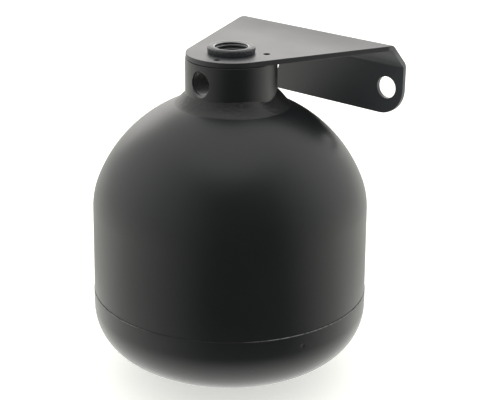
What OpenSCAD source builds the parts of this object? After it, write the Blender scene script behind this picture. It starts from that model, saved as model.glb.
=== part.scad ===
// Welded diaphragm accumulator: a drawn steel pressure vessel with a turned port neck on its dome,
// a folded mounting bracket staked on the neck, and a rubber diaphragm with a valve button inside.
// The origin is on the vessel's axis at the bracket plate's top face, and +Y points to the flange.

/* [Vessel] */
// Outside radius of the upper shell under its knuckle
shell_r = 54; // [48:0.5:62]
// How much the upper shell widens from its knuckle down to the girth seam, on the radius
skirt_draft = 0.4; // [0:0.05:0.8]
// Wall thickness of the upper shell
wall = 4; // [3:0.1:5]
// Straight height of the upper shell above the girth seam
upper_h = 34; // [24:0.5:60]
// Outside knuckle radius of the upper dome
upper_knuckle_r = 29.4; // [22:0.1:34]
// How much the upper dome's crown radius exceeds the shell's radius
upper_crown_extra = 1.9; // [0.6:0.1:8]
// How far the lower shell stands out past the upper one at the seam, on the radius
seam_step = 0.2; // [0.05:0.05:0.6]
// Straight height of the lower shell below the girth seam
lower_h = 6.5; // [5:0.1:20]
// Outside knuckle radius of the lower dish
lower_knuckle_r = 20.2; // [14:0.1:26]
// Outside crown radius of the lower dish
lower_crown_r = 81.9; // [76:0.1:110]

/* [Girth weld] */
// Height of the girth weld's bead
girth_weld_h = 1.4; // [0.8:0.1:2.4]
// Depth of the girth weld in the shell's wall
girth_weld_depth = 1.2; // [0.6:0.1:2]
// How far the bead stands out of the upper shell
girth_weld_proud = 0.25; // [0.1:0.05:0.5]

/* [Port neck] */
// Outside radius of the neck
neck_r = 17.7; // [16:0.1:20]
// Height of the neck from its seat on the dome to the bracket plate
neck_h = 15.3; // [14:0.1:30]
// Radius of the neck's foot, which goes through the dome
foot_r = 14; // [11:0.1:15]
// How far the neck's foot stands out inside the dome
foot_proud = 1; // [0.5:0.1:3]
// Chamfer round the neck's top edge
neck_chamfer = 0.3; // [0.2:0.1:1.2]
// Radius of the neck's spigot in the plate
stake_r = 8.4; // [8:0.1:9]
// Radius of the spigot's rolled collar
collar_r = 9.3; // [9:0.1:11]
// Height of the collar above the plate
collar_h = 2.5; // [1.6:0.1:3]
// Radius of the collar's rounded top edge
collar_round = 0.9; // [0.4:0.1:1.2]
// Radius of the top port's bore, before its thread
port_r = 6.25; // [5:0.05:6.6]
// Depth of the top port from the collar's top
port_depth = 14.8; // [13:0.1:17]
// Depth of the top port's countersink
port_sink = 0.5; // [0.4:0.1:1.2]
// Radius of the passage into the vessel
passage_r = 3.5; // [2:0.1:4.5]
// Drop of the side port's axis below the plate's top face
side_port_drop = 9.3; // [8.6:0.1:12]
// Radius of the side port's bore, before its thread
side_port_r = 4.3; // [3.5:0.05:5]
// Depth of the side port from the neck's face
side_port_depth = 9.7; // [7:0.1:10.5]
// Depth of the side port's countersink, from the neck's face
side_port_sink = 0.6; // [0.4:0.1:2]
// How much that countersink widens the side port, on the radius
side_port_flare = 0.9; // [0.4:0.1:1.2]
// Radius of the drilling that joins the two ports
cross_r = 2; // [1:0.1:3]

/* [Neck weld] */
// Height of the neck weld up the neck, above the seat
neck_weld_h = 3; // [1.5:0.1:4]
// Width of the neck weld on the dome, outside the neck
neck_weld_w = 5.2; // [3:0.1:7]
// Distance of the neck weld's root from the neck's foot
neck_weld_root = 0.6; // [0.3:0.1:2]
// Step at the neck weld's toe
neck_weld_toe = 0.4; // [0.1:0.1:1]

/* [Bracket] */
// Thickness of the bracket's sheet
sheet_t = 2; // [1.5:0.1:3]
// How far the plate's round nose stands inside the neck's outline
nose_inset = 0.25; // [0:0.05:1]
// Angle between the plate's sloping edges and the direction of the flange
flare = 22; // [16:0.5:28]
// Half the width of the flange
flange_half_w = 38.5; // [34:0.5:46]
// Distance from the vessel's axis to the flange's outer face
flange_reach = 62; // [58:0.5:80]
// Run of the sloping strip between the two folds
fold_run = 9.8; // [7:0.1:14]
// Outside radius of each fold
fold_r = 4; // [3.2:0.1:5]
// Drop of the flange's lower edge below the plate's top face
flange_drop = 31.4; // [28:0.2:45]
// Radius of the flange's lower corners
corner_r = 11; // [4:0.5:14]
// Radius of the flange's bolt holes
bolt_hole_r = 4.5; // [3:0.1:5.5]
// Distance from a bolt hole's centre to the flange's end
bolt_hole_in = 8; // [7:0.1:14]
// Distance from the bolt holes' centres to the flange's lower edge
bolt_hole_up = 11.1; // [8:0.1:14]
// Radius of the weld dents in the plate
dent_r = 1.4; // [0.8:0.1:2]
// Depth of the weld dents
dent_depth = 0.8; // [0.3:0.1:1.2]
// Distance of the weld dents from the vessel's axis
dent_pitch_r = 13.7; // [12.2:0.1:14.5]

/* [Diaphragm] */
// Thickness of the diaphragm
membrane_t = 2; // [1.2:0.1:3]
// Gap between the diaphragm and the dome
membrane_gap = 0.5; // [0.3:0.1:1]
// Width of the diaphragm's rim bead
bead_w = 3; // [2.4:0.1:4]
// Height of the diaphragm's rim bead
bead_h = 5.6; // [4:0.1:8]
// Height of the clamp ring's bead seat above the girth seam
bead_seat = 3; // [2:0.1:6]
// How far the clamp ring reaches below the girth seam
ring_drop = 5; // [3:0.1:6]
// Thickness of the clamp ring's lip inside the bead
ring_lip = 2.2; // [1.5:0.1:4]

/* [Valve button] */
// Radius of the valve button
button_r = 12; // [9:0.1:14]
// Thickness of the valve button
button_t = 2.5; // [2:0.1:4]
// Radius of the button's stem
stem_r = 3; // [2:0.1:4]
// Radius of the backing washer under the diaphragm
washer_r = 10; // [8:0.1:14]
// Thickness of the backing washer
washer_t = 1.5; // [1:0.1:3]
// Radius of the stem's riveted head
rivet_r = 4.6; // [4.2:0.1:6]
// Thickness of the stem's riveted head
rivet_t = 1.2; // [0.8:0.1:2]
// Running gap round the button and above it
button_gap = 0.3; // [0.2:0.05:0.6]

/* [Charge plug] */
// Radius of the recess for the charge plug
recess_r = 13; // [11:0.1:16]
// Depth of that recess at the dish's lowest point
recess_depth = 2.8; // [2.4:0.1:4]
// Radius of the charge plug's head
plug_head_r = 9; // [7:0.1:10.5]
// Thickness of the charge plug's head
plug_head_t = 1.6; // [1:0.1:2]
// Radius of the charge plug's shank
plug_shank_r = 4; // [3:0.1:6]
// How far the shank stands out inside the dish
plug_shank_proud = 1.5; // [0.5:0.1:3]

/* [Hidden] */
$fn = 128;

// Clearance of a located fit, on the radius
fit = 0.05;
// Overshoot of cuts past a face
over = 1;
// How far a crown lies under the arc that its knuckle is tangent to, so that the two faces cross
tuck = 0.01;
// Each of the bracket's two folds turns the sheet by half a right angle
fold_angle = 45;
// Number of flats round each fold
fold_steps = 6;
// Directions of the two weld dents round the neck, in degrees from +X
dent_angles = [29, -71];

paint_colour = [0.13, 0.135, 0.14];
steel_colour = [0.62, 0.62, 0.63];
rubber_colour = [0.07, 0.07, 0.07];

bore_r = shell_r - wall;
upper_crown_r = shell_r + upper_crown_extra;
seam_r = shell_r + skirt_draft;
lower_r = seam_r + seam_step;
lower_wall = lower_r - bore_r;

// Angle from the axis at which a head's crown turns into its knuckle
function head_angle(r, knuckle, crown) = asin((r - knuckle) / (crown + tuck - knuckle));
// Height of a head's crown centre above the foot of its straight part
function crown_centre(r, knuckle, crown, h) =
    h - (crown + tuck - knuckle) * cos(head_angle(r, knuckle, crown));

upper_centre = crown_centre(shell_r, upper_knuckle_r, upper_crown_r, upper_h);
lower_centre = crown_centre(lower_r, lower_knuckle_r, lower_crown_r, lower_h);

// Height of the upper dome's outer face above the girth seam, at a radius on its crown
function dome_z(r) = upper_centre + sqrt(upper_crown_r * upper_crown_r - r * r);
// Height of the upper dome's inner face above the girth seam, at a radius on its crown
function dome_inner_z(r) = upper_centre + sqrt(pow(upper_crown_r - wall, 2) - r * r);

seat_z = -sheet_t - neck_h;
seam_z = seat_z - dome_z(foot_r);
foot_z = seam_z + dome_inner_z(foot_r) - foot_proud;

side_port_y = -neck_r;
side_floor_y = side_port_y + side_port_depth;
side_wall_y = side_port_y + side_port_sink;

nose_r = neck_r - nose_inset;
full_width_y = (flange_half_w - nose_r / cos(flare)) / tan(flare);
fold_start_y = flange_reach - fold_run - fold_r * tan(fold_angle / 2);
strip_len = (flange_reach - fold_r - fold_start_y) / cos(fold_angle);
fold_centre_1 = [fold_start_y, -fold_r];
fold_centre_2 = fold_centre_1 + strip_len * [cos(fold_angle), -sin(fold_angle)];
bolt_hole_z = bolt_hole_up - flange_drop;

button_top_z = foot_z - button_gap;
membrane_top_z = button_top_z - button_t - button_gap;
washer_top_z = membrane_top_z - membrane_t - button_gap;
rivet_top_z = washer_top_z - washer_t;
rivet_bottom_z = rivet_top_z - rivet_t;

dish_z = seam_z - lower_centre - lower_crown_r;
recess_z = dish_z + recess_depth;
recess_floor_z = recess_z + lower_wall;

// Filled half section of a domed head on a straight foot: radius, knuckle, crown and straight height
module head_section(r, knuckle, crown, h) {
    angle = head_angle(r, knuckle, crown);
    centre = crown_centre(r, knuckle, crown, h);
    knuckle_top = centre + crown * cos(angle);
    square([r, h]);
    square([r - knuckle, h + knuckle]);
    intersection() {
        translate([r - knuckle, h]) circle(knuckle);
        square([r, h + knuckle]);
    }
    intersection() {
        translate([0, centre]) circle(crown);
        translate([0, knuckle_top]) square([crown, crown]);
    }
}

// Half section of the upper dome, drawn inwards by an offset from its outer face
module upper_section(inset) {
    head_section(shell_r - inset, upper_knuckle_r - inset, upper_crown_r - inset, upper_h);
}

// Half section of the lower dish, drawn inwards by an offset from its outer face
module lower_section(inset) {
    mirror([0, 1]) head_section(lower_r - inset, lower_knuckle_r - inset, lower_crown_r - inset, lower_h);
}

module upper_shell() {
    color(paint_colour) translate([0, 0, seam_z]) rotate_extrude() difference() {
        union() {
            upper_section(0);
            polygon([[bore_r, 0], [seam_r, 0], [shell_r, upper_h], [bore_r, upper_h]]);
        }
        upper_section(wall);
        square([foot_r + fit, dome_z(0) + over]);
        translate([seam_r - girth_weld_depth, 0]) square([girth_weld_depth + over, girth_weld_h / 2]);
    }
}

module lower_shell() {
    color(paint_colour) translate([0, 0, seam_z]) rotate_extrude() difference() {
        union() {
            difference() {
                lower_section(0);
                lower_section(lower_wall);
            }
            intersection() {
                lower_section(0);
                translate([0, dish_z - seam_z]) square([recess_r + lower_wall, recess_floor_z - dish_z]);
            }
        }
        translate([0, dish_z - seam_z - over]) square([recess_r, recess_depth + over]);
        translate([0, dish_z - seam_z]) square([plug_shank_r + fit, recess_floor_z - dish_z + over]);
        translate([seam_r - girth_weld_depth, -girth_weld_h / 2])
            square([girth_weld_depth + seam_step + over, girth_weld_h]);
    }
}

// The bead's face is an arc that meets the upper shell's face at the bead's edges
module girth_weld() {
    cap_r = (pow(girth_weld_h / 2, 2) + pow(girth_weld_proud, 2)) / (2 * girth_weld_proud);
    color(paint_colour) translate([0, 0, seam_z]) rotate_extrude() intersection() {
        translate([seam_r - girth_weld_depth, -girth_weld_h / 2])
            square([girth_weld_depth + girth_weld_proud, girth_weld_h]);
        union() {
            translate([seam_r + girth_weld_proud - cap_r, 0]) circle(cap_r);
            translate([seam_r - girth_weld_depth, -girth_weld_h / 2]) square([girth_weld_depth, girth_weld_h]);
        }
    }
}

// Turned outline of the neck: foot, body, spigot through the plate and the collar rolled over it
module neck_outline() {
    translate([0, foot_z]) square([foot_r, seat_z - foot_z + over]);
    polygon([
        [0, seat_z],
        [neck_r, seat_z],
        [neck_r, -sheet_t - neck_chamfer],
        [neck_r - neck_chamfer, -sheet_t],
        [0, -sheet_t]
    ]);
    translate([0, -sheet_t - over]) square([stake_r, sheet_t + 2 * over]);
    square([collar_r - collar_round, collar_h]);
    square([collar_r, collar_h - collar_round]);
    translate([collar_r - collar_round, collar_h - collar_round]) circle(collar_round);
}

module neck_bores() {
    port_floor = collar_h - port_depth;
    translate([0, port_floor]) square([port_r, port_depth + over]);
    translate([0, foot_z - over]) square([passage_r, port_floor - foot_z + 2 * over]);
    polygon([
        [0, collar_h - port_sink],
        [port_r, collar_h - port_sink],
        [port_r + port_sink + over, collar_h + over],
        [0, collar_h + over]
    ]);
}

module side_port() {
    translate([0, 0, -side_port_drop]) rotate([90, 0, 0]) {
        cylinder(r = cross_r, h = -side_floor_y + over);
        translate([0, 0, -side_floor_y]) cylinder(r = side_port_r, h = side_port_depth + over);
        translate([0, 0, -side_wall_y])
            cylinder(r1 = side_port_r, r2 = side_port_r + side_port_flare, h = side_port_sink);
    }
}

module neck() {
    color(paint_colour) difference() {
        rotate_extrude() difference() {
            neck_outline();
            neck_bores();
        }
        side_port();
    }
}

// Fillet weld in the wedge between the neck's flat seat and the dome, and outside it
module neck_weld() {
    inner_r = foot_r + neck_weld_root;
    toe_r = neck_r + neck_weld_w;
    toe_z = seam_z + dome_z(toe_r) + neck_weld_toe;
    root_z = seam_z + dome_z(toe_r) - over;
    color(paint_colour) rotate_extrude() difference() {
        polygon([
            [inner_r, root_z],
            [toe_r, root_z],
            [toe_r, toe_z],
            [neck_r, seat_z + neck_weld_h],
            [neck_r, seat_z],
            [inner_r, seat_z]
        ]);
        translate([0, seam_z + upper_centre]) circle(upper_crown_r);
    }
}

// Points round a fold, at angles from straight up towards +Y
function fold_arc(centre, r, from, to) = [
    for (i = [0:fold_steps])
        let (angle = from + (to - from) * i / fold_steps) centre + r * [sin(angle), cos(angle)]
];

// Side view of the folded sheet: plate, fold, sloping strip, fold and flange
module fold_section() {
    inner_r = fold_r - sheet_t;
    polygon(concat(
        [[-neck_r, 0]],
        fold_arc(fold_centre_1, fold_r, 0, fold_angle),
        fold_arc(fold_centre_2, fold_r, fold_angle, 2 * fold_angle),
        [[flange_reach, -flange_drop], [flange_reach - sheet_t, -flange_drop]],
        fold_arc(fold_centre_2, inner_r, 2 * fold_angle, fold_angle),
        fold_arc(fold_centre_1, inner_r, fold_angle, 0),
        [[-neck_r, -sheet_t]]
    ));
}

// Outline from above: a round nose whose tangents flare out to the flange's width
module plan_outline() {
    tangent = nose_r * [cos(flare), -sin(flare)];
    circle(nose_r);
    polygon([
        tangent,
        [flange_half_w, full_width_y],
        [flange_half_w, flange_reach + over],
        [-flange_half_w, flange_reach + over],
        [-flange_half_w, full_width_y],
        [-tangent[0], tangent[1]]
    ]);
}

// Outline along +Y: a band of the flange's width with round lower corners
module flange_outline() {
    inner_w = flange_half_w - corner_r;
    translate([-flange_half_w, corner_r - flange_drop]) square([2 * flange_half_w, flange_drop - corner_r + over]);
    translate([-inner_w, -flange_drop]) square([2 * inner_w, corner_r]);
    for (side = [-1, 1]) translate([side * inner_w, corner_r - flange_drop]) circle(corner_r);
}

module bracket() {
    color(paint_colour) difference() {
        intersection() {
            rotate([90, 0, 90]) linear_extrude(2 * flange_half_w, center = true) fold_section();
            translate([0, 0, -flange_drop - over]) linear_extrude(flange_drop + 2 * over) plan_outline();
            translate([0, flange_reach + over, 0]) rotate([90, 0, 0])
                linear_extrude(flange_reach + neck_r + 2 * over) flange_outline();
        }
        translate([0, 0, -sheet_t - over]) cylinder(r = stake_r + fit, h = sheet_t + 2 * over);
        for (side = [-1, 1]) translate([side * (flange_half_w - bolt_hole_in), flange_reach + over, bolt_hole_z])
            rotate([90, 0, 0]) cylinder(r = bolt_hole_r, h = sheet_t + 2 * over);
        for (angle = dent_angles) rotate(angle) translate([dent_pitch_r, 0, -dent_depth])
            cylinder(r = dent_r, h = dent_depth + over);
    }
}

// Ring across the girth seam that holds the diaphragm's bead against the upper shell's bore
module clamp_ring() {
    seat_r = bore_r - fit - bead_w - 2 * fit;
    color(steel_colour) translate([0, 0, seam_z]) rotate_extrude() difference() {
        translate([seat_r - ring_lip, -ring_drop])
            square([bore_r - fit - seat_r + ring_lip, ring_drop + bead_seat + bead_h]);
        translate([seat_r, bead_seat]) square([bore_r, bead_h + over]);
    }
}

// Cup of even thickness under the dome, with a flat top under the button and a bead round its rim
module diaphragm() {
    outer_inset = wall + membrane_gap;
    top = membrane_top_z - seam_z;
    color(rubber_colour) translate([0, 0, seam_z]) rotate_extrude() {
        difference() {
            intersection() {
                upper_section(outer_inset);
                square([shell_r, top]);
            }
            intersection() {
                upper_section(outer_inset + membrane_t);
                square([shell_r, top - membrane_t]);
            }
            square([shell_r, bead_seat + fit]);
            square([stem_r + button_gap, top + over]);
        }
        translate([bore_r - 2 * fit - bead_w, bead_seat + fit]) square([bead_w, bead_h]);
    }
}

// Disc that closes the passage, with a stem riveted over the backing washer
module valve_button() {
    color(steel_colour) rotate_extrude() {
        translate([0, button_top_z - button_t]) square([button_r, button_t]);
        translate([0, rivet_top_z]) square([stem_r, button_top_z - rivet_top_z]);
        translate([0, rivet_bottom_z]) square([rivet_r, rivet_t]);
    }
}

module backing_washer() {
    color(steel_colour) rotate_extrude() translate([stem_r, rivet_top_z]) square([washer_r - stem_r, washer_t]);
}

module charge_plug() {
    color(paint_colour) rotate_extrude() {
        translate([0, recess_z - plug_head_t]) square([plug_head_r - plug_head_t, plug_head_t]);
        intersection() {
            translate([plug_head_r - plug_head_t, recess_z]) circle(plug_head_t);
            translate([plug_head_r - plug_head_t, recess_z - plug_head_t]) square(plug_head_t);
        }
        translate([0, recess_z]) square([plug_shank_r, lower_wall + plug_shank_proud]);
    }
}

upper_shell();
lower_shell();
girth_weld();
neck();
neck_weld();
bracket();
clamp_ring();
diaphragm();
valve_button();
backing_washer();
charge_plug();
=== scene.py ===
"""Looks of a welded diaphragm accumulator in satin black paint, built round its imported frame, in metres."""

import math

import bmesh
import bpy
from mathutils import Matrix, Vector, noise


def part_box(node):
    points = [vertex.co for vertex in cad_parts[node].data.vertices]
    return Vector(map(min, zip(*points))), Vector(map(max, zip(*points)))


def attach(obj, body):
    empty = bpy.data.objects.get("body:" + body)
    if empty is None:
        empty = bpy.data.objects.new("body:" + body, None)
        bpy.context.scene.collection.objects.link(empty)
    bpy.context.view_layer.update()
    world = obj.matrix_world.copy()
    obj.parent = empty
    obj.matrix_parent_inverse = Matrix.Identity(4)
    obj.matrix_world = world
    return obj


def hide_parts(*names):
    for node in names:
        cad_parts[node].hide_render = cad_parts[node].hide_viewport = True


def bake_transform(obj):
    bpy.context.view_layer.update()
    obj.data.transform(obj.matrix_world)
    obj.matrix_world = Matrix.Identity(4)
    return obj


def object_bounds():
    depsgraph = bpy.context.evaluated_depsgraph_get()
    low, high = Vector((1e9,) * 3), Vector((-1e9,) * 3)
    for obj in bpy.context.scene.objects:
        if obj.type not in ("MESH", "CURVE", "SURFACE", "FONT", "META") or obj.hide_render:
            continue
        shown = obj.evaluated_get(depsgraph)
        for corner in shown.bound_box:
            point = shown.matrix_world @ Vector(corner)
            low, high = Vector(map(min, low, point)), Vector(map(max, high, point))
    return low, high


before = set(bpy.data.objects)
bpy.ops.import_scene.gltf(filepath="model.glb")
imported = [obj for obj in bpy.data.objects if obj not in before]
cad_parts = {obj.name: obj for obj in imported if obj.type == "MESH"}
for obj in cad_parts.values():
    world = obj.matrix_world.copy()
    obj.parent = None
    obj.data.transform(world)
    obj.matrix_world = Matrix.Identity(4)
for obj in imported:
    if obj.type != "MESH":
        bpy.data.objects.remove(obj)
cad_low, cad_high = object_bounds()

# Sizes of the vessel, with heights taken from the frame
SHELL_R = 0.054
SEAM_R = 0.0544
WALL = 0.004
UPPER_STRAIGHT = 0.034
UPPER_KNUCKLE_R = 0.0294
UPPER_CROWN_R = 0.0559
SEAM_STEP = 0.0002
LOWER_STRAIGHT = 0.0065
LOWER_KNUCKLE_R = 0.0202
LOWER_CROWN_R = 0.0819
RECESS_R = 0.013
PLUG_HOLE_R = 0.00405
PLUG_PROUD = 0.0016
CLAMP_BELOW_SEAM = 0.005
SEAM_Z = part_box("clamp_ring")[0].z + CLAMP_BELOW_SEAM

# Girth weld and the ledge of the lower shell under it
JOIN_UP = 0.0004
JOIN_Z = SEAM_Z + JOIN_UP
BEAD_H = 0.0003
BEAD_DEPTH = 0.0012
BEAD_SINK = 0.00003
BEAD_DEEPER = 0.00014
BEAD_CROWN = 0.00003
BEAD_RIPPLE = 0.00003
BEAD_RIPPLE_SCALE = 900
LEDGE_R = 0.0003

# Front of the seam, in degrees, where the bead fills its groove and the ledge has no light specks
SEAM_FRONT_MIDDLE = -62
SEAM_FRONT_REACH = (18, 34)

# Port neck and its two ports
NECK_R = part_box("neck")[1].x
FOOT_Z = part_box("neck")[0].z
COLLAR_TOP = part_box("neck")[1].z
FOOT_R = 0.014
FIT_GAP = 0.00005
SEAT_Z = -0.0173
NECK_CHAMFER = 0.0003
STAKE_R = 0.0084
COLLAR_R = 0.0093
COLLAR_ROUND = 0.0009
COLLAR_ROUND_H = 0.0007
COLLAR_CREST_R = 0.0074
COLLAR_LIP = 0.001
COLLAR_LIP_DROP = 0.0004
COLLAR_LIP_SLOPE = 0.6
COLLAR_TUCK = 0.0003
COLLAR_ROUGH = 0.00018
COLLAR_ROUGH_SCALE = 1300
COLLAR_ROUGH_SINK = 0.5
TOP_PORT_R = 0.00625
TOP_PORT_ROOT_R = 0.00695
TOP_PORT_PITCH = 0.0015
TOP_PORT_FLOOR = -0.0123
TOP_PORT_SINK = 0.0005
PASSAGE_R = 0.0035
SIDE_PORT_Z = -0.0093
SIDE_PORT_R = 0.0043
SIDE_PORT_ROOT_R = 0.00486
SIDE_PORT_PITCH = 0.000907
SIDE_PORT_FLOOR_Y = -0.008
SIDE_PORT_SINK = 0.0006
SIDE_PORT_FLARE = 0.0009
SIDE_PORT_LAND = SIDE_PORT_PITCH * 0.6
CROSS_R = 0.002

# Threads: half width and flat crest of the ridge as shares of the pitch, and where the top one starts
THREAD_HALF = 0.42
THREAD_FLAT = 0.08
THREAD_SINK = 0.00005
TOP_THREAD_DOWN = TOP_PORT_PITCH * 0.52
TOP_THREAD_START = COLLAR_TOP - COLLAR_LIP_DROP - TOP_THREAD_DOWN
TOP_THREAD_TURN = Matrix.Rotation(math.radians(60), 4, "Z")

# Neck weld
SKIRT_CLIMB = 0.003
SKIRT_TOP = SEAT_Z + SKIRT_CLIMB
SKIRT_ROOT_GAP = 0.0006
SKIRT_TOE_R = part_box("neck_weld")[1].x
SKIRT_UNEVEN = 0.2
SKIRT_LOW = 0.34
SKIRT_LONG_SIDE = math.radians(40)
SKIRT_FULL = 0.8
SKIRT_HOLLOW = 1.1
SKIRT_FRONT = math.radians(-80)
SKIRT_DIP = 0.0020
SKIRT_DIP_SIDE = math.radians(5)
SKIRT_DIP_SPREAD = math.radians(20)
SKIRT_ROUGH = 0.00005
SKIRT_ROUGH_FADE = 4 * SKIRT_ROUGH
SKIRT_COARSE_SCALE = 800
SKIRT_FINE_SCALE = 1700
SKIRT_FINE_SHARE = 0.6

# Folded bracket
SHEET_T = 0.002
NOSE_R = 0.01745
FLARE = math.radians(22)
FLANGE_HALF_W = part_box("bracket")[1].x
FLANGE_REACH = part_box("bracket")[1].y
FLANGE_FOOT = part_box("bracket")[0].z
FOLD_RUN = 0.0098
FOLD_R = 0.004
FOLD_ANGLE = math.radians(45)
CORNER_R = 0.011
BOLT_HOLE_R = 0.0045
BOLT_HOLE_IN = 0.008
BOLT_HOLE_UP = 0.0111
DENT_R = 0.0014
DENT_DEPTH = 0.0008
DENT_PITCH_R = 0.0137
DENT_ANGLES = (math.radians(29), math.radians(-71))

# Wall and floor of a dent, as shares of its radius and its depth
DENT_WALL = (0.12, 0.75)
DENT_FLOOR = (0.5, 0.25)

# Bracket's paint: where the plate turns duller and by how much, and where the flange turns paler as painted
# light
PLATE_TO_FLANGE_Z = (-0.0025, -0.005)
DULL_Y = (0.026, 0.046)
DULL_EXTRA = 0.085
PAINTED_LIGHT_X = (-0.005, FLANGE_HALF_W)

# Diaphragm
MEMBRANE_INSET = 0.0045
MEMBRANE_T = 0.002
MEMBRANE_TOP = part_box("diaphragm")[1].z
RIM_BEAD_R = 0.0499
RIM_BEAD_W = 0.003
RIM_BEAD_H = 0.0056
RIM_BEAD_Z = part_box("diaphragm")[0].z
STEM_HOLE_R = 0.0033

# Small dents in the shells: place, radius and depth
SHELL_DENTS = (((0.0518, -0.0172, -0.1003), 0.0013, 0.00012), ((0.0415, -0.0338, -0.1084), 0.0010, 0.00005),
               ((-0.0310, -0.0277, -0.0340), 0.0006, 0.00010), ((0.0310, 0.0273, -0.0338), 0.0012, 0.00006),
               ((0.0326, 0.0331, -0.0404), 0.0012, 0.00005))

# Photographic view: where the camera stands and how it is turned, in degrees
CAMERA_PLACE = Vector((0.3122, -0.3507, 0.1175))
CAMERA_HEADING = math.radians(39.8)
CAMERA_PITCH = math.radians(20.328)
CAMERA_ROLL = math.radians(0.98)
CAMERA_LENS = 92.10
CAMERA_SENSOR = 36.0
CAMERA_SHIFT = (-0.0444, -0.0168)
CAMERA_CLIP = (0.01, 50)

# Black screen on the camera's side: its reach and height, and where it fades from clear to black, in degrees
SWEEP_NEAR = 0.045
SWEEP_DARK = 0.1
SWEEP_FAR = 1.1
SWEEP_TOP = 1.7
SWEEP_BEND = 0.3
SWEEP_LIFT = 0.0005
SWEEP_LEFT_FADE = (-148, -63)
SWEEP_RIGHT_FADE = (48, -8)

# Floor, just under the object, and the glow that the camera sees on it
FLOOR_SIZE = 6
FLOOR_GAP = 0.0002
FLOOR_COLOUR = (0.85, 0.855, 0.81, 1.0)
FLOOR_GLOW = 0.5

# Glow of the floor in reflections: its strength under the object and further out, and where it changes
SPOT_GLOW = (1.89, 0.25)
SPOT_REACH = (0.025, 0.13)

# Light of the sky and of the floor's glow
SKY_COLOUR = (1.0, 1.0, 0.975, 1.0)

# Softbox behind the object: its place, size and power in watts
SOFTBOX_PLACE = Vector((-0.85, 0.95, 0.42))
SOFTBOX_SIZE = (2.0, 0.8)
SOFTBOX_POWER = 6.9
SOFTBOX_COLOUR = (1.0, 0.955, 0.92)

# Mesh fineness
ROUND_STEPS = 192
THREAD_STEPS = 64
FOLD_CUTS = 10
DENT_SIDES = 24
EDGE_SEGMENTS = 3
EDGE_R = 0.00022
SEAM_EDGE_R = 0.00012
SMOOTH_ANGLE = math.radians(28)
MERGE_DIST = 1e-7
QUARTER = math.radians(90)

# Share of z in a normal that parts upright faces from flat ones
UPRIGHT = 0.5


def arc(centre, radius, start, end, steps):
    """Points on an arc, from one angle to another, in radians from the first axis."""
    angles = [start + (end - start) * i / steps for i in range(steps + 1)]
    return [(centre[0] + radius * math.cos(a), centre[1] + radius * math.sin(a)) for a in angles]


def ramp(value, low, high):
    """How far a value is on its way from low to high, between 0 and 1."""
    return min(1.0, max(0.0, (value - low) / (high - low)))


def revolve(section, steps=ROUND_STEPS):
    """Solid of a closed half section of (radius, height) points, turned about the vessel's axis."""
    bm = bmesh.new()
    verts = [bm.verts.new((r, 0, z)) for r, z in section]
    edges = [bm.edges.new(pair) for pair in zip(verts, verts[1:] + verts[:1])]
    bmesh.ops.spin(bm, geom=verts + edges, cent=(0, 0, 0), axis=(0, 0, 1),
                   angle=math.tau, steps=steps, use_merge=True)
    bmesh.ops.remove_doubles(bm, verts=bm.verts, dist=MERGE_DIST)
    bmesh.ops.recalc_face_normals(bm, faces=bm.faces)
    return bm


def round_edges(bm, radius, wanted=lambda edge: True):
    """Rounds the sharp edges, or those of them that wanted() picks."""
    sharp = [e for e in bm.edges if len(e.link_faces) == 2 and e.calc_face_angle(0) > SMOOTH_ANGLE]
    sharp = [e for e in sharp if wanted(e)]
    bmesh.ops.bevel(bm, geom=sharp, affect="EDGES", offset=radius, segments=EDGE_SEGMENTS,
                    profile=0.5, material=-1, clamp_overlap=True)


def finished(name, bm, *materials):
    """Object of a finished bmesh, smooth except at its sharp edges."""
    mesh = bpy.data.meshes.new(name)
    bm.to_mesh(mesh)
    bm.free()
    for material in materials:
        mesh.materials.append(material)
    mesh.shade_smooth()
    mesh.set_sharp_from_angle(angle=SMOOTH_ANGLE)
    obj = bpy.data.objects.new(name, mesh)
    bpy.context.scene.collection.objects.link(obj)
    even = obj.modifiers.new("even_normals", "WEIGHTED_NORMAL")
    even.keep_sharp = True
    return obj


def dress(name, bm, materials, node=None):
    """A finished piece that rides on the vessel, stands for a node and takes the finishes given."""
    obj = finished(name, bm, *materials)
    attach(obj, "vessel")
    if node:
        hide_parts(node)
    return obj


def head(r, knuckle, crown, straight):
    """Height of the crown's centre in a domed head, and the angle at which its knuckle meets the crown."""
    angle = math.acos((r - knuckle) / (crown - knuckle))
    centre = straight - (crown - knuckle) * math.sin(angle)
    return centre, angle


# Materials


def link(tree, source, target):
    """A link from an output to an input."""
    tree.links.new(source, target)


def add(tree, kind, values=None, **settings):
    """A node with its own settings, and with values on its inputs by name."""
    made = tree.nodes.new(kind)
    for key, value in settings.items():
        setattr(made, key, value)
    for key, value in (values or {}).items():
        made.inputs[key].default_value = value
    return made


def group_of(name, inputs, outputs):
    """A shader node group with named float or vector sockets, and its input and output nodes."""
    tree = bpy.data.node_groups.new(name, "ShaderNodeTree")
    for title, kind in inputs:
        tree.interface.new_socket(name=title, in_out="INPUT", socket_type=kind)
    for title in outputs:
        tree.interface.new_socket(name=title, in_out="OUTPUT", socket_type="NodeSocketFloat")
    return tree, tree.nodes.new("NodeGroupInput"), tree.nodes.new("NodeGroupOutput")


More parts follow.
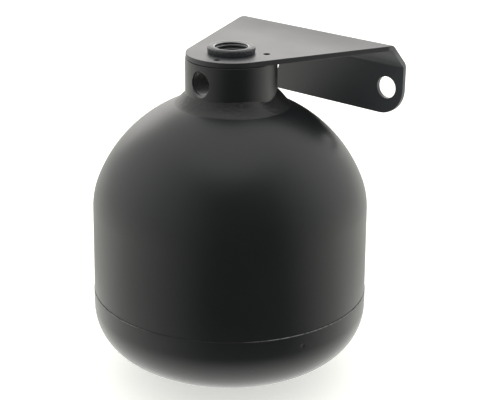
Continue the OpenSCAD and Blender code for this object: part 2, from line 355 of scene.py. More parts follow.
def sprayed_coat():
    """Group of a sprayed coat: orange peel and grain as a height, and patches of gloss and tone."""
    settings = ["Peel Scale", "Grain Scale", "Grain Share", "Gloss Low", "Gloss High"]
    inputs = [("Vector", "NodeSocketVector")] + [(title, "NodeSocketFloat") for title in settings]
    tree, given, put = group_of("sprayed_coat", inputs, ["Height", "Roughness", "Tone"])
    peel = add(tree, "ShaderNodeTexNoise", {"Detail": 2.0, "Roughness": 0.45})
    grain = add(tree, "ShaderNodeTexNoise", {"Detail": 3.0, "Roughness": 0.6})
    patches = add(tree, "ShaderNodeTexNoise", {"Scale": 28.0, "Detail": 4.0, "Roughness": 0.55})
    both = add(tree, "ShaderNodeMix", data_type="FLOAT")
    spread = {"From Min": 0.3, "From Max": 0.7}
    gloss = add(tree, "ShaderNodeMapRange", spread)
    tone = add(tree, "ShaderNodeMapRange", spread)
    for texture in (peel, grain, patches):
        link(tree, given.outputs["Vector"], texture.inputs["Vector"])
    link(tree, given.outputs["Peel Scale"], peel.inputs["Scale"])
    link(tree, given.outputs["Grain Scale"], grain.inputs["Scale"])
    link(tree, given.outputs["Grain Share"], both.inputs["Factor"])
    link(tree, peel.outputs["Fac"], both.inputs["A"])
    link(tree, grain.outputs["Fac"], both.inputs["B"])
    link(tree, patches.outputs["Fac"], gloss.inputs["Value"])
    link(tree, given.outputs["Gloss Low"], gloss.inputs["To Min"])
    link(tree, given.outputs["Gloss High"], gloss.inputs["To Max"])
    link(tree, patches.outputs["Fac"], tone.inputs["Value"])
    link(tree, both.outputs["Result"], put.inputs["Height"])
    link(tree, gloss.outputs["Result"], put.inputs["Roughness"])
    link(tree, tone.outputs["Result"], put.inputs["Tone"])
    return tree


COAT = sprayed_coat()


def shader(name):
    """A new material's node tree and its principled shader."""
    material = bpy.data.materials.new(name)
    material.use_nodes = True
    return material, material.node_tree, material.node_tree.nodes["Principled BSDF"]


def from_axis(tree, place):
    """Distance from the vessel's axis, as an output."""
    flat = add(tree, "ShaderNodeVectorMath", {1: (1, 1, 0)}, operation="MULTIPLY")
    reach = add(tree, "ShaderNodeVectorMath", operation="LENGTH")
    link(tree, place, flat.inputs[0])
    link(tree, flat.outputs["Vector"], reach.inputs[0])
    return reach.outputs["Value"]


def between(tree, value, limits, start=0.0, end=1.0, **settings):
    """A value that goes from start to end while another one goes through its limits, as an output."""
    ranged = add(tree, "ShaderNodeMapRange", {"From Min": limits[0], "From Max": limits[1],
                                              "To Min": start, "To Max": end}, **settings)
    link(tree, value, ranged.inputs["Value"])
    return ranged.outputs["Result"]


def dull_and_painted_light(tree, place, colour, roughness, painted_light):
    """The bracket's colour and roughness: duller towards the plate's far edge, and paler along the flange as
    painted light.
    """
    parts = add(tree, "ShaderNodeSeparateXYZ")
    extra = add(tree, "ShaderNodeMath", operation="MULTIPLY_ADD")
    both = add(tree, "ShaderNodeMath", operation="MULTIPLY")
    fade = add(tree, "ShaderNodeMix", data_type="RGBA")
    fade.inputs["B"].default_value = (*painted_light, 1)
    link(tree, place, parts.inputs["Vector"])
    link(tree, between(tree, parts.outputs["Y"], DULL_Y), extra.inputs[0])
    link(tree, between(tree, parts.outputs["Z"], PLATE_TO_FLANGE_Z, DULL_EXTRA, 0.0), extra.inputs[1])
    link(tree, roughness, extra.inputs[2])
    # Painted light: the flange turns paler towards its right end
    link(tree, between(tree, parts.outputs["X"], PAINTED_LIGHT_X), both.inputs[0])
    link(tree, between(tree, parts.outputs["Z"], PLATE_TO_FLANGE_Z), both.inputs[1])
    link(tree, both.outputs[0], fade.inputs["Factor"])
    link(tree, colour, fade.inputs["A"])
    return fade.outputs["Result"], extra.outputs[0]


def dented(tree, place, height, dents, relief):
    """A coat's height with dents sunk in it, in units of its relief."""
    for spot, radius, depth in dents:
        away = add(tree, "ShaderNodeVectorMath", {1: spot}, operation="DISTANCE")
        hollow = between(tree, away.outputs["Value"], (0.0, radius), depth / relief, 0.0,
                         interpolation_type="SMOOTHSTEP")
        lower = add(tree, "ShaderNodeMath", operation="SUBTRACT")
        link(tree, place, away.inputs[0])
        link(tree, height, lower.inputs[0])
        link(tree, hollow, lower.inputs[1])
        height = lower.outputs[0]
    return height


def coated(name, dark, light, gloss, peel_scale, grain_scale, grain_share, relief, ior, dents=(), painted_light=None):
    """A sprayed finish between two tones, with its range of roughness, its relief, any dents under it and any
    painted light.
    """
    material, tree, bsdf = shader(name)
    place = add(tree, "ShaderNodeTexCoord").outputs["Object"]
    coat = add(tree, "ShaderNodeGroup", {"Peel Scale": peel_scale, "Grain Scale": grain_scale,
                                         "Grain Share": grain_share, "Gloss Low": gloss[0],
                                         "Gloss High": gloss[1]}, node_tree=COAT)
    tint = add(tree, "ShaderNodeMix", data_type="RGBA")
    tint.inputs["A"].default_value = (*dark, 1)
    tint.inputs["B"].default_value = (*light, 1)
    bump = add(tree, "ShaderNodeBump", {"Strength": 1.0, "Distance": relief})
    link(tree, place, coat.inputs["Vector"])
    link(tree, coat.outputs["Tone"], tint.inputs["Factor"])
    colour = tint.outputs["Result"]
    roughness = coat.outputs["Roughness"]
    # Painted light: a paler flange, where one is given
    if painted_light:
        colour, roughness = dull_and_painted_light(tree, place, colour, roughness, painted_light)
    link(tree, colour, bsdf.inputs["Base Color"])
    link(tree, roughness, bsdf.inputs["Roughness"])
    link(tree, dented(tree, place, coat.outputs["Height"], dents, relief), bump.inputs["Height"])
    link(tree, bump.outputs["Normal"], bsdf.inputs["Normal"])
    bsdf.inputs["IOR"].default_value = ior
    return material


def turned_steel(name, dark, light, smear, scale):
    """Bare steel between two greys, with fine rings round the vessel's axis that change its gloss."""
    material, tree, bsdf = shader(name)
    place = add(tree, "ShaderNodeTexCoord")
    rings = add(tree, "ShaderNodeTexWave", {"Scale": scale, "Distortion": 1.5, "Detail": 2.0},
                wave_type="RINGS", rings_direction="Z")
    blue = 1.02
    tint = add(tree, "ShaderNodeMix", data_type="RGBA")
    tint.inputs["A"].default_value = (dark, dark, dark * blue, 1)
    tint.inputs["B"].default_value = (light, light, light * blue, 1)
    link(tree, place.outputs["Object"], rings.inputs["Vector"])
    link(tree, between(tree, rings.outputs["Fac"], (0.0, 1.0), *smear), bsdf.inputs["Roughness"])
    link(tree, rings.outputs["Fac"], tint.inputs["Factor"])
    link(tree, tint.outputs["Result"], bsdf.inputs["Base Color"])
    bsdf.inputs["Metallic"].default_value = 1.0
    return material


def turn_share(degrees):
    """What a radial gradient shows at an angle about the vessel's axis."""
    return degrees / 360 + 0.5


def specked_paint(name, paint, speck_colour, roughness, ior):
    """Paint with lighter grey specks, apart from the front of the seam where it stays plain."""
    material, tree, bsdf = shader(name)
    place = add(tree, "ShaderNodeTexCoord").outputs["Object"]
    around = add(tree, "ShaderNodeTexGradient", gradient_type="RADIAL")
    away = add(tree, "ShaderNodeMath", {1: turn_share(SEAM_FRONT_MIDDLE)}, operation="SUBTRACT")
    side = add(tree, "ShaderNodeMath", operation="ABSOLUTE")
    specks = add(tree, "ShaderNodeTexNoise", {"Scale": 700.0, "Detail": 2.0})
    speck_limits = (0.2, 0.55)
    front_limits = [reach / 360 for reach in SEAM_FRONT_REACH]
    both = add(tree, "ShaderNodeMath", operation="MULTIPLY")
    tint = add(tree, "ShaderNodeMix", data_type="RGBA")
    tint.inputs["A"].default_value = (*paint, 1)
    tint.inputs["B"].default_value = (*speck_colour, 1)
    link(tree, place, around.inputs["Vector"])
    link(tree, place, specks.inputs["Vector"])
    link(tree, around.outputs["Fac"], away.inputs[0])
    link(tree, away.outputs[0], side.inputs[0])
    link(tree, between(tree, side.outputs[0], front_limits), both.inputs[0])
    link(tree, between(tree, specks.outputs["Fac"], speck_limits), both.inputs[1])
    link(tree, both.outputs[0], tint.inputs["Factor"])
    link(tree, tint.outputs["Result"], bsdf.inputs["Base Color"])
    bsdf.inputs["Roughness"].default_value = roughness
    bsdf.inputs["IOR"].default_value = ior
    return material


shell_paint = coated("shell_paint", dark=(0.0074, 0.0090, 0.0106), light=(0.0096, 0.0112, 0.0128),
                     gloss=(0.33, 0.38), peel_scale=650, grain_scale=3200, grain_share=0.3,
                     relief=0.000025, ior=1.6, dents=SHELL_DENTS)
# The sheet's paint turns paler along the flange: painted light
sheet_paint = coated("sheet_paint", dark=(0.0225, 0.0262, 0.0300), light=(0.0270, 0.0307, 0.0345),
                     gloss=(0.365, 0.425), peel_scale=900, grain_scale=4200, grain_share=0.4,
                     relief=0.00002, ior=1.7, painted_light=(0.054, 0.060, 0.067))
# A darker copy of the sheet's paint for the plate's edge faces: painted shade
shaded_edge_paint = coated("shaded_edge_paint", dark=(0.0115, 0.0133, 0.0151), light=(0.0140, 0.0158, 0.0176),
                    gloss=(0.38, 0.44), peel_scale=900, grain_scale=4200, grain_share=0.4,
                    relief=0.00002, ior=1.6)
weld_paint = coated("weld_paint", dark=(0.0074, 0.0079, 0.0085), light=(0.0108, 0.0113, 0.0119),
                    gloss=(0.36, 0.44), peel_scale=900, grain_scale=2600, grain_share=0.5,
                    relief=0.00005, ior=1.6)
diaphragm_rubber = coated("diaphragm_rubber", dark=(0.012, 0.012, 0.012), light=(0.022, 0.022, 0.022),
                          gloss=(0.62, 0.78), peel_scale=400, grain_scale=2600, grain_share=0.6,
                          relief=0.00006, ior=1.5)
specked_ledge = specked_paint("specked_ledge", paint=(0.008, 0.0085, 0.009), speck_colour=(0.16, 0.162, 0.16),
                        roughness=0.42, ior=1.6)
bare_steel = turned_steel("bare_steel", dark=0.42, light=0.58, smear=(0.26, 0.42), scale=900)
dull_steel = turned_steel("dull_steel", dark=0.16, light=0.22, smear=(0.36, 0.48), scale=1600)
thread_steel = turned_steel("thread_steel", dark=0.38, light=0.50, smear=(0.36, 0.50), scale=1600)


# Vessel


def upper_dome():
    """Deep drawn dome with its straight skirt, from the weld groove up to the hole for the neck's foot."""
    centre, turn = head(SHELL_R, UPPER_KNUCKLE_R, UPPER_CROWN_R, UPPER_STRAIGHT)
    hole = FOOT_R + FIT_GAP
    knuckle_at = (SHELL_R - UPPER_KNUCKLE_R, SEAM_Z + UPPER_STRAIGHT)
    crown_at = (0, SEAM_Z + centre)
    inner_crown = UPPER_CROWN_R - WALL
    inner_knuckle = UPPER_KNUCKLE_R - WALL
    groove_r = SEAM_R - BEAD_DEPTH
    section = [(groove_r, JOIN_Z + BEAD_H / 2), (SEAM_R, JOIN_Z + BEAD_H / 2)]
    section += arc(knuckle_at, UPPER_KNUCKLE_R, 0, turn, steps=14)
    section += arc(crown_at, UPPER_CROWN_R, turn, math.acos(hole / UPPER_CROWN_R), steps=40)[1:]
    section += arc(crown_at, inner_crown, math.acos(hole / inner_crown), turn, steps=24)
    section += arc(knuckle_at, inner_knuckle, turn, 0, steps=8)[1:]
    section += [(SHELL_R - WALL, SEAM_Z), (groove_r, SEAM_Z)]
    bm = revolve(section)
    round_edges(bm, SEAM_EDGE_R, lambda e: all(v.co.xy.length > groove_r + MERGE_DIST for v in e.verts))
    return dress("upper_dome", bm, [shell_paint], "upper_shell")


def lower_dish():
    """Shallow drawn dish with a specked ledge, and with a recess and a hole for the charge plug."""
    r = SEAM_R + SEAM_STEP
    wall = r - (SHELL_R - WALL)
    centre, turn = head(r, LOWER_KNUCKLE_R, LOWER_CROWN_R, LOWER_STRAIGHT)
    knuckle_at = (r - LOWER_KNUCKLE_R, SEAM_Z - LOWER_STRAIGHT)
    crown_at = (0, SEAM_Z - centre)
    groove_r = SEAM_R - BEAD_DEPTH
    recess_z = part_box("charge_plug")[0].z + PLUG_PROUD
    floor_z = recess_z + wall
    inner_crown = LOWER_CROWN_R - wall
    inner_knuckle = LOWER_KNUCKLE_R - wall
    boss_r = RECESS_R + wall
    ledge_z = JOIN_Z - BEAD_H / 2
    section = [(groove_r, ledge_z), (r, ledge_z)]
    section += arc(knuckle_at, LOWER_KNUCKLE_R, 0, -turn, steps=16)
    section += arc(crown_at, LOWER_CROWN_R, -turn, -math.acos(RECESS_R / LOWER_CROWN_R), steps=24)[1:]
    section += [(RECESS_R, recess_z), (PLUG_HOLE_R, recess_z), (PLUG_HOLE_R, floor_z), (boss_r, floor_z)]
    section += arc(crown_at, inner_crown, -math.acos(boss_r / inner_crown), -turn, steps=16)
    section += arc(knuckle_at, inner_knuckle, -turn, 0, steps=8)[1:]
    section += [(SHELL_R - WALL, SEAM_Z), (groove_r, SEAM_Z)]
    bm = revolve(section)
    round_edges(bm, LEDGE_R, lambda e: all(v.co.xy.length > groove_r + MERGE_DIST for v in e.verts)
                or all(v.co.z < recess_z + MERGE_DIST for v in e.verts))
    finishes = [shell_paint, specked_ledge]
    for face in bm.faces:
        middle = face.calc_center_median()
        if middle.z > ledge_z - LEDGE_R and middle.xy.length > r - LEDGE_R:
            face.material_index = finishes.index(specked_ledge)
    return dress("lower_dish", bm, finishes, "lower_shell")


def girth_bead():
    """Weld bead in the seam's groove, faintly rippled, and deeper in it away from the front."""
    inner_r = SEAM_R - BEAD_DEPTH
    half = BEAD_H / 2
    cap_r = (half ** 2 + BEAD_CROWN ** 2) / (2 * BEAD_CROWN)
    spread = math.asin(half / cap_r)
    section = arc((SEAM_R - BEAD_SINK - cap_r, JOIN_Z), cap_r, -spread, spread, steps=8)
    section += [(inner_r, JOIN_Z + half), (inner_r, JOIN_Z - half)]
    bm = revolve(section, steps=720)
    for v in bm.verts:
        if v.co.xy.length > inner_r + half:
            away = abs(math.degrees(math.atan2(v.co.y, v.co.x)) - SEAM_FRONT_MIDDLE)
            gap = ramp(min(away, 360 - away), *SEAM_FRONT_REACH)
            shift = noise.noise(v.co * BEAD_RIPPLE_SCALE) * BEAD_RIPPLE - gap * BEAD_DEEPER
            v.co += v.co.xy.normalized().to_3d() * shift
    return dress("girth_bead", bm, [shell_paint], "girth_weld")


upper_dome()
lower_dish()
girth_bead()


# Neck

SIDE_PORT_TURN = Matrix.Translation((0, 0, SIDE_PORT_Z)) @ Matrix.Rotation(QUARTER, 4, "X")
NECK_FINISHES = [shell_paint, thread_steel, sheet_paint, dull_steel]
CUT_FINISHES = [thread_steel, dull_steel]


def thread_ridge(name, crest_r, root_r, pitch, start, end, turned):
    """Ridge of an inside thread between two heights on the turning axis, put in place by a matrix."""
    bm = bmesh.new()
    half = pitch * THREAD_HALF
    flat = pitch * THREAD_FLAT
    root_r += THREAD_SINK
    points = [(root_r, start - half), (crest_r, start - flat),
              (crest_r, start + flat), (root_r, start + half)]
    verts = [bm.verts.new((r, 0, z)) for r, z in points]
    face = bm.faces.new(verts)
    turns = (start - end) / pitch
    steps = round(turns * THREAD_STEPS)
    bmesh.ops.spin(bm, geom=[face, *verts, *face.edges], cent=(0, 0, 0), axis=(0, 0, 1),
                   dvec=(0, 0, (end - start) / steps), angle=math.tau * turns, steps=steps)
    bmesh.ops.recalc_face_normals(bm, faces=bm.faces)
    bmesh.ops.transform(bm, matrix=turned, verts=bm.verts)
    return dress(name, bm, [thread_steel])


def side_port_cutter():
    """Tool shape of the side port: its bore, its countersink and the drilling that joins the ports."""
    beyond = 0.004
    slope = SIDE_PORT_FLARE / SIDE_PORT_SINK
    land = NECK_R - SIDE_PORT_SINK - SIDE_PORT_LAND
    floor = -SIDE_PORT_FLOOR_Y
    section = [(0, 0), (CROSS_R, 0), (CROSS_R, floor), (SIDE_PORT_ROOT_R, floor),
               (SIDE_PORT_ROOT_R, land - (SIDE_PORT_ROOT_R - SIDE_PORT_R)), (SIDE_PORT_R, land),
               (SIDE_PORT_R, NECK_R - SIDE_PORT_SINK),
               (SIDE_PORT_R + SIDE_PORT_FLARE + beyond * slope, NECK_R + beyond), (0, NECK_R + beyond)]
    bm = revolve(section, steps=96)
    for face in bm.faces:
        if face.calc_center_median().z > NECK_R - SIDE_PORT_SINK:
            face.material_index = CUT_FINISHES.index(dull_steel)
    bmesh.ops.transform(bm, matrix=SIDE_PORT_TURN, verts=bm.verts)
    return bm


def cut(bm, tool):
    """A bmesh of the neck with another one cut out of it, bare steel in the cut."""
    body = finished("uncut", bm, *NECK_FINISHES)
    cutter = finished("cutter", tool, *CUT_FINISHES)
    step = body.modifiers.new("cut", "BOOLEAN")
    step.object = cutter
    step.solver = "EXACT"
    step.material_mode = "TRANSFER"
    result = bmesh.new()
    result.from_object(body, bpy.context.evaluated_depsgraph_get())
    for obj in (body, cutter):
        bpy.data.objects.remove(obj)
    return result


def port_neck():
    """Turned neck with its foot, spigot, rolled collar and top port, cross-bored for the side port."""
    lip_z = COLLAR_TOP - COLLAR_LIP_DROP
    root_z = lip_z - (TOP_PORT_ROOT_R - COLLAR_CREST_R + COLLAR_LIP) * COLLAR_LIP_SLOPE
    wall_steps = 7
    section = [(PASSAGE_R, FOOT_Z), (FOOT_R, FOOT_Z), (FOOT_R, SEAT_Z), (NECK_R, SEAT_Z),
               (NECK_R, -SHEET_T - NECK_CHAMFER), (NECK_R - NECK_CHAMFER, -SHEET_T), (STAKE_R, -SHEET_T),
               (STAKE_R, 0)]
    wall_top = COLLAR_TOP - COLLAR_ROUND_H
    for i in range(wall_steps):
        up = i / wall_steps
        section.append((COLLAR_R - COLLAR_TUCK * (1 - up) ** 2, wall_top * up))
    for across, up in arc((0, 0), 1, 0, QUARTER, steps=8):
        section.append((COLLAR_R - COLLAR_ROUND + COLLAR_ROUND * across, wall_top + COLLAR_ROUND_H * up))
    for across, up in arc((0, 0), 1, QUARTER, 2 * QUARTER, steps=12):
        section.append((COLLAR_CREST_R + COLLAR_LIP * across, lip_z + COLLAR_LIP_DROP * up))
    section += [(TOP_PORT_ROOT_R, root_z), (TOP_PORT_ROOT_R, TOP_PORT_FLOOR), (PASSAGE_R, TOP_PORT_FLOOR)]
    bm = revolve(section)
    bm.normal_update()
    for v in bm.verts:
        if v.co.z > COLLAR_TUCK and v.co.xy.length > STAKE_R:
            lump = noise.noise(v.co * COLLAR_ROUGH_SCALE) - COLLAR_ROUGH_SINK
            v.co += v.normal * lump * COLLAR_ROUGH
            v.co.z = min(v.co.z, COLLAR_TOP)
    for face in bm.faces:
        middle = face.calc_center_median()
        if middle.z > TOP_PORT_FLOOR - MERGE_DIST and middle.xy.length < TOP_PORT_R + TOP_PORT_SINK:
            face.material_index = NECK_FINISHES.index(thread_steel)
        elif middle.z > 0:
            face.material_index = NECK_FINISHES.index(sheet_paint)
    bm = cut(bm, side_port_cutter())
    return dress("port_neck", bm, NECK_FINISHES, "neck")


def dome_height(r):
    """Height of the dome's outside at a radius on its crown."""
    centre, _ = head(SHELL_R, UPPER_KNUCKLE_R, UPPER_CROWN_R, UPPER_STRAIGHT)
    return SEAM_Z + centre + math.sqrt(UPPER_CROWN_R ** 2 - r ** 2)


def weld_skirt():
    """Fillet weld from the neck down to the dome, rough, hollow in front, and wider on one side."""
    root_r = FOOT_R + SKIRT_ROOT_GAP
    steps = 28
    rise = SKIRT_TOP - dome_height(NECK_R)
    section = [(root_r, dome_height(root_r)), (root_r, SEAT_Z), (NECK_R, SEAT_Z)]
    for i in range(steps + 1):
        r = NECK_R + (SKIRT_TOE_R - NECK_R) * i / steps
        section.append((r, dome_height(r) + rise * (1 - i / steps)))
    for i in range(1, steps):
        r = SKIRT_TOE_R + (root_r - SKIRT_TOE_R) * i / steps
        section.append((r, dome_height(r)))
    bm = revolve(section, steps=360)
    for v in bm.verts:
        r = v.co.xy.length
        share = max(0.0, v.co.z - dome_height(r)) / rise
        if r > NECK_R + MERGE_DIST or v.co.z > SEAT_Z + MERGE_DIST:
            angle = math.atan2(v.co.y, v.co.x)
            short = (1 - math.cos(angle - SKIRT_LONG_SIDE)) / 2
            dip = SKIRT_DIP * math.exp(-((angle - SKIRT_DIP_SIDE) / SKIRT_DIP_SPREAD) ** 2)
            hollow = SKIRT_FULL + SKIRT_HOLLOW * ((1 + math.cos(angle - SKIRT_FRONT)) / 2) ** 2
            height = (rise * (1 - SKIRT_LOW * short) - dip) * share ** hollow
            r = NECK_R + (r - NECK_R) * (1 - SKIRT_UNEVEN * short)
            v.co = (*v.co.xy.normalized() * r, dome_height(r) + height)
    bm.normal_update()
    for v in bm.verts:
        above = v.co.z - dome_height(v.co.xy.length)
        if v.co.xy.length > NECK_R + MERGE_DIST and above > MERGE_DIST:
            lump = noise.noise(v.co * SKIRT_COARSE_SCALE)
            lump += SKIRT_FINE_SHARE * noise.noise(v.co * SKIRT_FINE_SCALE)
            v.co += v.normal * lump * SKIRT_ROUGH * ramp(above, 0, SKIRT_ROUGH_FADE)
    return dress("weld_skirt", bm, [weld_paint], "neck_weld")


port_neck()
thread_ridge("top_port_thread", TOP_PORT_R, TOP_PORT_ROOT_R, TOP_PORT_PITCH,
             TOP_THREAD_START, TOP_PORT_FLOOR + TOP_PORT_PITCH, TOP_THREAD_TURN)
thread_ridge("side_port_thread", SIDE_PORT_R, SIDE_PORT_ROOT_R, SIDE_PORT_PITCH,
             NECK_R - SIDE_PORT_SINK - SIDE_PORT_PITCH, -SIDE_PORT_FLOOR_Y + SIDE_PORT_PITCH, SIDE_PORT_TURN)
weld_skirt()


# Bracket

FOLD_START = FLANGE_REACH - FOLD_RUN - FOLD_R * math.tan(FOLD_ANGLE / 2)
FOLD_LENGTH = FOLD_R * FOLD_ANGLE
STRIP_LENGTH = (FLANGE_REACH - FOLD_R - FOLD_START) / math.cos(FOLD_ANGLE)
FLANGE_START_Z = -FOLD_R - STRIP_LENGTH * math.sin(FOLD_ANGLE)
SHEET_END = FOLD_START + 2 * FOLD_LENGTH + STRIP_LENGTH + FLANGE_START_Z - FLANGE_FOOT


def folded(point):
    """A point of the flat sheet, with its top face at height 0, carried round the two folds."""
    x, along, height = point
    place = Vector((FOLD_START, 0.0))
    turn = 0.0
    left = along - FOLD_START
    if left <= 0:
        return Vector((x, along, height))
    fold, strip, flange = (FOLD_LENGTH, FOLD_ANGLE), (STRIP_LENGTH, 0.0), (math.inf, 0.0)
    for length, bend in (fold, strip, fold, flange):
        step = min(left, length)
        if bend:
            hub = place + FOLD_R * Vector((-math.sin(turn), -math.cos(turn)))
            turn += bend * step / length
            place = hub + FOLD_R * Vector((math.sin(turn), math.cos(turn)))
        else:
            place = place + step * Vector((math.cos(turn), -math.sin(turn)))
        left -= step
        if left <= 0:
            break
    place = place + height * Vector((math.sin(turn), math.cos(turn)))
    return Vector((x, place.x, place.y))


def loop(bm, points):
    """A closed loop of edges through flat points."""
    verts = [bm.verts.new((x, y, 0)) for x, y in points]
    return [bm.edges.new(pair) for pair in zip(verts, verts[1:] + verts[:1])]


def flat_outline():
    """Outline of the unfolded sheet: round nose, flared sides, full-width flange with round corners."""
    full_width_y = (FLANGE_HALF_W - NOSE_R / math.cos(FLARE)) / math.tan(FLARE)
    corner = (FLANGE_HALF_W - CORNER_R, SHEET_END - CORNER_R)
    points = arc((0, 0), NOSE_R, math.pi + FLARE, math.tau - FLARE, steps=48)
    points += [(FLANGE_HALF_W, full_width_y)]
    points += arc(corner, CORNER_R, 0, QUARTER, steps=20)
    points += arc((-corner[0], corner[1]), CORNER_R, QUARTER, 2 * QUARTER, steps=20)
    points += [(-FLANGE_HALF_W, full_width_y)]
    return points


def ring(centre, radius, steps=64):
    """Points of a whole circle, each one once."""
    return arc(centre, radius, 0, math.tau * (steps - 1) / steps, steps - 1)


def folded_bracket():
    """Sheet cut to its outline and holes, with soft edges and two dents, then folded twice."""
    bm = bmesh.new()
    bolt_y = SHEET_END - BOLT_HOLE_UP
    bolt_x = FLANGE_HALF_W - BOLT_HOLE_IN
    dents = [DENT_PITCH_R * Vector((math.cos(angle), math.sin(angle))) for angle in DENT_ANGLES]
    edges = loop(bm, flat_outline()) + loop(bm, ring((0, 0), STAKE_R + FIT_GAP, steps=96))
    for side in (-1, 1):
        edges += loop(bm, ring((side * bolt_x, bolt_y), BOLT_HOLE_R))
    dent_loops = [loop(bm, ring(centre, DENT_R, DENT_SIDES)) for centre in dents]
    bmesh.ops.triangle_fill(bm, use_beauty=True, edges=edges + sum(dent_loops, []))
    for rim in dent_loops:
        bmesh.ops.contextual_create(bm, geom=rim)
    bmesh.ops.recalc_face_normals(bm, faces=bm.faces)
    under = bmesh.ops.extrude_face_region(bm, geom=bm.faces[:])["geom"]
    lowered = [item for item in under if isinstance(item, bmesh.types.BMVert)]
    bmesh.ops.translate(bm, vec=(0, 0, -SHEET_T), verts=lowered)
    bmesh.ops.recalc_face_normals(bm, faces=bm.faces)
    round_edges(bm, EDGE_R)
    for width, depth in (DENT_WALL, DENT_FLOOR):
        pits = [f for f in bm.faces if f.normal.z > UPRIGHT and len(f.verts) == DENT_SIDES]
        bmesh.ops.inset_region(bm, faces=pits, thickness=DENT_R * width, depth=-DENT_DEPTH * depth)
    # The plate's edge faces take the darker copy of its paint, as painted shade
    finishes = [sheet_paint, shaded_edge_paint]
    for face in bm.faces:
        middle = face.calc_center_median()
        outer = middle.y < FOLD_START and middle.xy.length > DENT_PITCH_R + DENT_R
        if outer and abs(face.normal.z) < UPRIGHT:
            face.material_index = finishes.index(shaded_edge_paint)
    cuts = [FOLD_START + FOLD_LENGTH * i / FOLD_CUTS for i in range(FOLD_CUTS + 1)]
    for along in cuts + [c + FOLD_LENGTH + STRIP_LENGTH for c in cuts]:
        bmesh.ops.bisect_plane(bm, geom=bm.verts[:] + bm.edges[:] + bm.faces[:], dist=MERGE_DIST,
                               plane_co=(0, along, 0), plane_no=(0, 1, 0))
    for v in bm.verts:
        v.co = folded(v.co)
    bmesh.ops.recalc_face_normals(bm, faces=bm.faces)
    return dress("folded_bracket", bm, finishes, "bracket")


folded_bracket()


# Inside


def rubber_diaphragm():
    """Rubber cup along the dome, held by its rim bead and drawn down with the button."""
    outer_r = SHELL_R - MEMBRANE_INSET
    centre, turn = head(SHELL_R, UPPER_KNUCKLE_R, UPPER_CROWN_R, UPPER_STRAIGHT)
    crown_at = (0, SEAM_Z + centre)
    knuckle_at = (SHELL_R - UPPER_KNUCKLE_R, SEAM_Z + UPPER_STRAIGHT)
    bead_top = RIM_BEAD_Z + RIM_BEAD_H
    under_top = MEMBRANE_TOP - MEMBRANE_T
    crown = UPPER_CROWN_R - MEMBRANE_INSET
    knuckle = UPPER_KNUCKLE_R - MEMBRANE_INSET
    thin_crown = crown - MEMBRANE_T
    thin_knuckle = knuckle - MEMBRANE_T
    top_angle = math.asin((MEMBRANE_TOP - crown_at[1]) / crown)
    under_angle = math.asin((under_top - crown_at[1]) / thin_crown)
    section = [(RIM_BEAD_R - RIM_BEAD_W, RIM_BEAD_Z), (RIM_BEAD_R, RIM_BEAD_Z), (RIM_BEAD_R, bead_top),
               (outer_r, bead_top)]
    section += arc(knuckle_at, knuckle, 0, turn, steps=10)
    section += arc(crown_at, crown, turn, top_angle, steps=24)[1:]
    section += [(STEM_HOLE_R, MEMBRANE_TOP), (STEM_HOLE_R, under_top)]
    section += arc(crown_at, thin_crown, under_angle, turn, steps=24)
    section += arc(knuckle_at, thin_knuckle, turn, 0, steps=10)[1:]
    section += [(outer_r - MEMBRANE_T, bead_top), (RIM_BEAD_R - RIM_BEAD_W, bead_top)]
    bm = revolve(section, steps=96)
    obj = finished("rubber_diaphragm", bm, diaphragm_rubber)
    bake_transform(obj)
    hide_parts("diaphragm")


def dress_cad_nodes():
    """Finishes of the pieces that keep their CAD shape."""
    for node, material in (("clamp_ring", bare_steel), ("valve_button", bare_steel),
                           ("backing_washer", bare_steel), ("charge_plug", shell_paint)):
        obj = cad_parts[node]
        obj.data.materials.clear()
        obj.data.materials.append(material)


rubber_diaphragm()
dress_cad_nodes()


# Stage


def floor_and_world():
    """White floor that keeps the object's shadow, under a plain sky of a slightly warm white."""
    bm = bmesh.new()
    bmesh.ops.create_grid(bm, x_segments=1, y_segments=1, size=FLOOR_SIZE)
    bmesh.ops.translate(bm, vec=(0, 0, cad_low.z - FLOOR_GAP), verts=bm.verts)
    material, tree, bsdf = shader("white_floor")
    bsdf.inputs["Base Color"].default_value = FLOOR_COLOUR
    bsdf.inputs["Roughness"].default_value = 0.9
    glow = add(tree, "ShaderNodeEmission", {"Color": SKY_COLOUR})
    both = add(tree, "ShaderNodeAddShader")
    path = add(tree, "ShaderNodeLightPath")
    place = add(tree, "ShaderNodeTexCoord").outputs["Object"]
    seen = add(tree, "ShaderNodeMath", operation="MAXIMUM")
    shown = add(tree, "ShaderNodeMath", {1: FLOOR_GLOW}, operation="MULTIPLY")
    mirrored = add(tree, "ShaderNodeMath", operation="MULTIPLY")
    level = add(tree, "ShaderNodeMath", operation="ADD")
    link(tree, path.outputs["Is Camera Ray"], seen.inputs[0])
    link(tree, path.outputs["Is Transmission Ray"], seen.inputs[1])
    link(tree, seen.outputs[0], shown.inputs[0])
    link(tree, path.outputs["Is Glossy Ray"], mirrored.inputs[0])
    link(tree, between(tree, from_axis(tree, place), SPOT_REACH, *SPOT_GLOW), mirrored.inputs[1])
    link(tree, shown.outputs[0], level.inputs[0])
    link(tree, mirrored.outputs[0], level.inputs[1])
    link(tree, level.outputs[0], glow.inputs["Strength"])
    link(tree, bsdf.outputs[0], both.inputs[0])
    link(tree, glow.outputs[0], both.inputs[1])
    link(tree, both.outputs[0], tree.nodes["Material Output"].inputs["Surface"])
    finished("floor", bm, material)
    world = bpy.data.worlds.new("white_sky")
    world.use_nodes = True
    world.node_tree.nodes["Background"].inputs["Color"].default_value = SKY_COLOUR
    world.node_tree.nodes["Background"].inputs["Strength"].default_value = 1.0
    bpy.context.scene.world = world


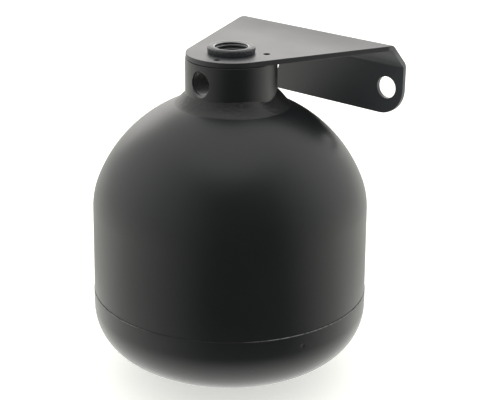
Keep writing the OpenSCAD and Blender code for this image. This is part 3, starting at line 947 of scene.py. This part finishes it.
def back_softbox():
    """Broad soft light behind the object, which brightens its edges and the top of the plate."""
    data = bpy.data.lights.new("back_softbox", "AREA")
    data.shape = "RECTANGLE"
    data.size, data.size_y = SOFTBOX_SIZE
    data.energy = SOFTBOX_POWER
    data.color = SOFTBOX_COLOUR
    lamp = bpy.data.objects.new("back_softbox", data)
    bpy.context.scene.collection.objects.link(lamp)
    aim = SOFTBOX_PLACE.to_track_quat("Z", "Y").to_matrix().to_4x4()
    lamp.matrix_world = Matrix.Translation(SOFTBOX_PLACE) @ aim
    lamp.visible_camera = False


def photo_camera():
    """Camera at the photograph's place and angle."""
    data = bpy.data.cameras.new("photo_camera")
    data.sensor_width = CAMERA_SENSOR
    data.lens = CAMERA_LENS
    data.shift_x, data.shift_y = CAMERA_SHIFT
    data.clip_start, data.clip_end = CAMERA_CLIP
    camera = bpy.data.objects.new("photo_camera", data)
    bpy.context.scene.collection.objects.link(camera)
    aim = Matrix.Rotation(CAMERA_HEADING, 4, "Z") @ Matrix.Rotation(QUARTER - CAMERA_PITCH, 4, "X")
    camera.matrix_world = Matrix.Translation(CAMERA_PLACE) @ aim @ Matrix.Rotation(CAMERA_ROLL, 4, "Z")
    bpy.context.scene.camera = camera


def dark_sweep():
    """Black screen on the camera's side, seen only in reflections, which keeps the paint deep in front."""
    foot = cad_low.z + SWEEP_LIFT
    section = [(SWEEP_NEAR, foot)]
    section += arc((SWEEP_FAR - SWEEP_BEND, foot + SWEEP_BEND), SWEEP_BEND, -QUARTER, 0, steps=8)
    section += [(SWEEP_FAR, SWEEP_TOP)]
    low = math.radians(SWEEP_LEFT_FADE[0])
    high = math.radians(SWEEP_RIGHT_FADE[0])
    bm = bmesh.new()
    turn = Matrix.Rotation(low, 4, "Z")
    verts = [bm.verts.new(turn @ Vector((r, 0, z))) for r, z in section]
    edges = [bm.edges.new(pair) for pair in zip(verts, verts[1:])]
    bmesh.ops.spin(bm, geom=verts + edges, cent=(0, 0, 0), axis=(0, 0, 1), steps=60, angle=high - low)
    material, tree, bsdf = shader("black_screen")
    place = add(tree, "ShaderNodeTexCoord").outputs["Object"]
    around = add(tree, "ShaderNodeTexGradient", gradient_type="RADIAL")
    link(tree, place, around.inputs["Vector"])
    black = between(tree, from_axis(tree, place), (SWEEP_NEAR, SWEEP_DARK))
    for clear, dark in (SWEEP_LEFT_FADE, SWEEP_RIGHT_FADE):
        fade = between(tree, around.outputs["Fac"], (turn_share(clear), turn_share(dark)))
        both = add(tree, "ShaderNodeMath", operation="MULTIPLY")
        link(tree, fade, both.inputs[0])
        link(tree, black, both.inputs[1])
        black = both.outputs[0]
    link(tree, black, bsdf.inputs["Alpha"])
    bsdf.inputs["Base Color"].default_value = (0.01, 0.01, 0.01, 1)
    bsdf.inputs["Roughness"].default_value = 1.0
    screen = finished("dark_sweep", bm, material)
    screen.visible_camera = False
    screen.visible_diffuse = False
    screen.visible_transmission = False
    screen.visible_shadow = False


floor_and_world()
dark_sweep()
back_softbox()
photo_camera()
bpy.context.scene.view_settings.view_transform = "Standard"
